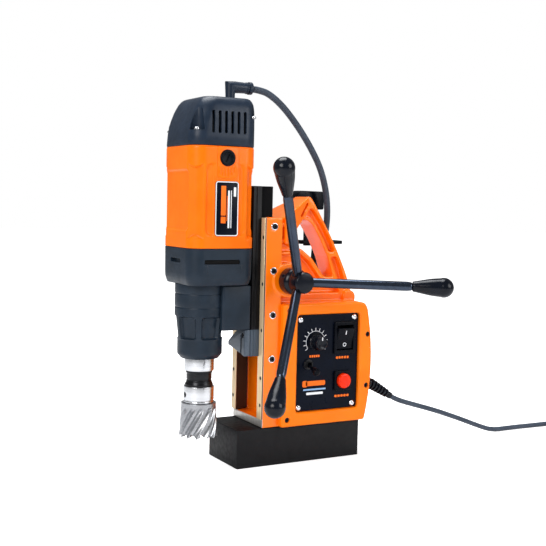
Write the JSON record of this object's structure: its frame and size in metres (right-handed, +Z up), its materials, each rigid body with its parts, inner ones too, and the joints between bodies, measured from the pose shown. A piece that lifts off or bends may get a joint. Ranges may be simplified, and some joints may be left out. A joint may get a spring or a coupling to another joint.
{
  "type": "magnetic drill press",
  "caption": "Magnetic drill press: electromagnet base, dovetail slide on a cast stand, motor head with annular cutter, three-spoke capstan feed and control panel.",
  "frame": {"origin": "centre of the magnet's bottom face, which grips the workpiece", "axes": "+X along the magnet, away from the drill head; -Y towards the control panel and the capstan; +Z up, along the spindle and the slide"},
  "size_m": [0.6719, 0.2227, 0.449],
  "materials": {
    "orange_paint": "glossy orange enamel",
    "magnet_black": "satin black paint on steel",
    "potting_resin": "cast resin",
    "case_grey": "blue-grey satin paint",
    "black_plastic": "moulded black plastic",
    "black_metal": "black oxide, oiled",
    "bright_steel": "turned and ground steel",
    "dark_steel": "blackened steel",
    "brass": "pale machined brass",
    "copper": "enamelled copper windings on a steel core",
    "red_plastic": "glossy red plastic",
    "board_green": "green circuit board",
    "rubber": "soft black rubber"
  },
  "bodies": {
    "stand": {"magnet_housing": "magnet_black", "magnet_coil": "potting_resin", "stand_casting": "orange_paint", "gib_near": "brass", "gib_far": "brass", "pinion_bush_near": "brass", "pinion_bush_far": "brass", "control_box_cover": "orange_paint", "control_panel": "black_plastic", "control_board": "board_green", "speed_potentiometer": "dark_steel", "rocker_body": "black_plastic", "button_body": "black_plastic", "toggle_switch": "bright_steel", "coolant_bracket": "black_plastic", "lead_gland": "black_plastic", "motor_lead": "rubber", "strain_relief": "rubber", "mains_cord": "rubber", "cord_coil": "rubber", "mains_plug": "rubber"},
    "carriage": {"slide_bar": "black_metal", "rack": "dark_steel", "gear_case": "case_grey", "gearbox_housing": "case_grey", "motor_housing": "orange_paint", "motor_cap": "black_plastic", "brush_cap_near": "black_plastic", "brush_cap_far": "black_plastic", "nameplate": "black_plastic", "stator": "bright_steel", "motor_bearing_upper": "bright_steel", "motor_bearing_lower": "bright_steel", "spindle_bearing_upper": "bright_steel", "spindle_bearing_lower": "bright_steel", "slide_bracket": "bright_steel", "bracket_screw": "dark_steel", "lead_elbow": "rubber"},
    "spindle_group": {"spindle": "bright_steel", "spindle_gear": "dark_steel", "arbor": "bright_steel", "arbor_sleeve": "dark_steel", "annular_cutter": "bright_steel"},
    "rotor": {"armature": "copper", "fan": "black_plastic", "motor_pinion": "dark_steel"},
    "layshaft_group": {"layshaft": "dark_steel", "lay_gear": "dark_steel"},
    "capstan": {"pinion_shaft": "bright_steel", "capstan_hub": "black_metal", "capstan_spoke_1": "black_metal", "capstan_spoke_2": "black_metal", "capstan_spoke_3": "black_metal", "capstan_grip_1": "rubber", "capstan_grip_2": "rubber", "capstan_grip_3": "rubber"},
    "speed_knob_body": {"speed_knob": "black_plastic"},
    "rocker_paddle": {"rocker": "black_plastic"},
    "toggle": {"toggle_lever": "black_plastic"},
    "magnet_button_body": {"magnet_button": "red_plastic"}
  },
  "joints": [
    {"name": "carriage_slide", "type": "slide", "parent": "stand", "child": "carriage", "axis": [0, 0, 1], "range_m": [-0.07, 0.055], "deforming": ["motor_lead"]},
    {"name": "capstan_turn", "type": "hinge", "parent": "stand", "child": "capstan", "pos_m": [-0.0215, -0.062, 0.218], "axis": [0, 1, 0], "range_deg": [-290, 230]},
    {"name": "motor_spin", "type": "hinge", "parent": "carriage", "child": "rotor", "pos_m": [-0.1076, 0, 0.3], "axis": [0, 0, 1], "continuous": true},
    {"name": "layshaft_spin", "type": "hinge", "parent": "carriage", "child": "layshaft_group", "pos_m": [-0.10229, 0.01824, 0.23], "axis": [0, 0, 1], "continuous": true},
    {"name": "spindle_spin", "type": "hinge", "parent": "carriage", "child": "spindle_group", "pos_m": [-0.1163, 0, 0.1128], "axis": [0, 0, 1], "continuous": true},
    {"name": "speed_knob_turn", "type": "hinge", "parent": "stand", "child": "speed_knob_body", "pos_m": [0.0158, -0.042, 0.1443], "axis": [0, 1, 0], "range_deg": [-135, 135]},
    {"name": "rocker_tilt", "type": "hinge", "parent": "stand", "child": "rocker_paddle", "pos_m": [0.0562, -0.0395, 0.1479], "axis": [1, 0, 0], "range_deg": [-24, 0]},
    {"name": "toggle_flip", "type": "hinge", "parent": "stand", "child": "toggle", "pos_m": [0.006, -0.0406, 0.118], "axis": [1, 0, 0], "range_deg": [-34, 0]},
    {"name": "magnet_button_press", "type": "slide", "parent": "stand", "child": "magnet_button_body", "axis": [0, 1, 0], "range_m": [0, 0.0035], "stiffness_N_per_m": 300, "springref_m": -0.003}
  ],
  "couplings": [
    {"joint": "capstan_turn", "follows": "carriage_slide", "rad_per_m": 71.429},
    {"joint": "layshaft_spin", "follows": "motor_spin", "ratio": -0.35714},
    {"joint": "spindle_spin", "follows": "motor_spin", "ratio": 0.12605}
  ]
}
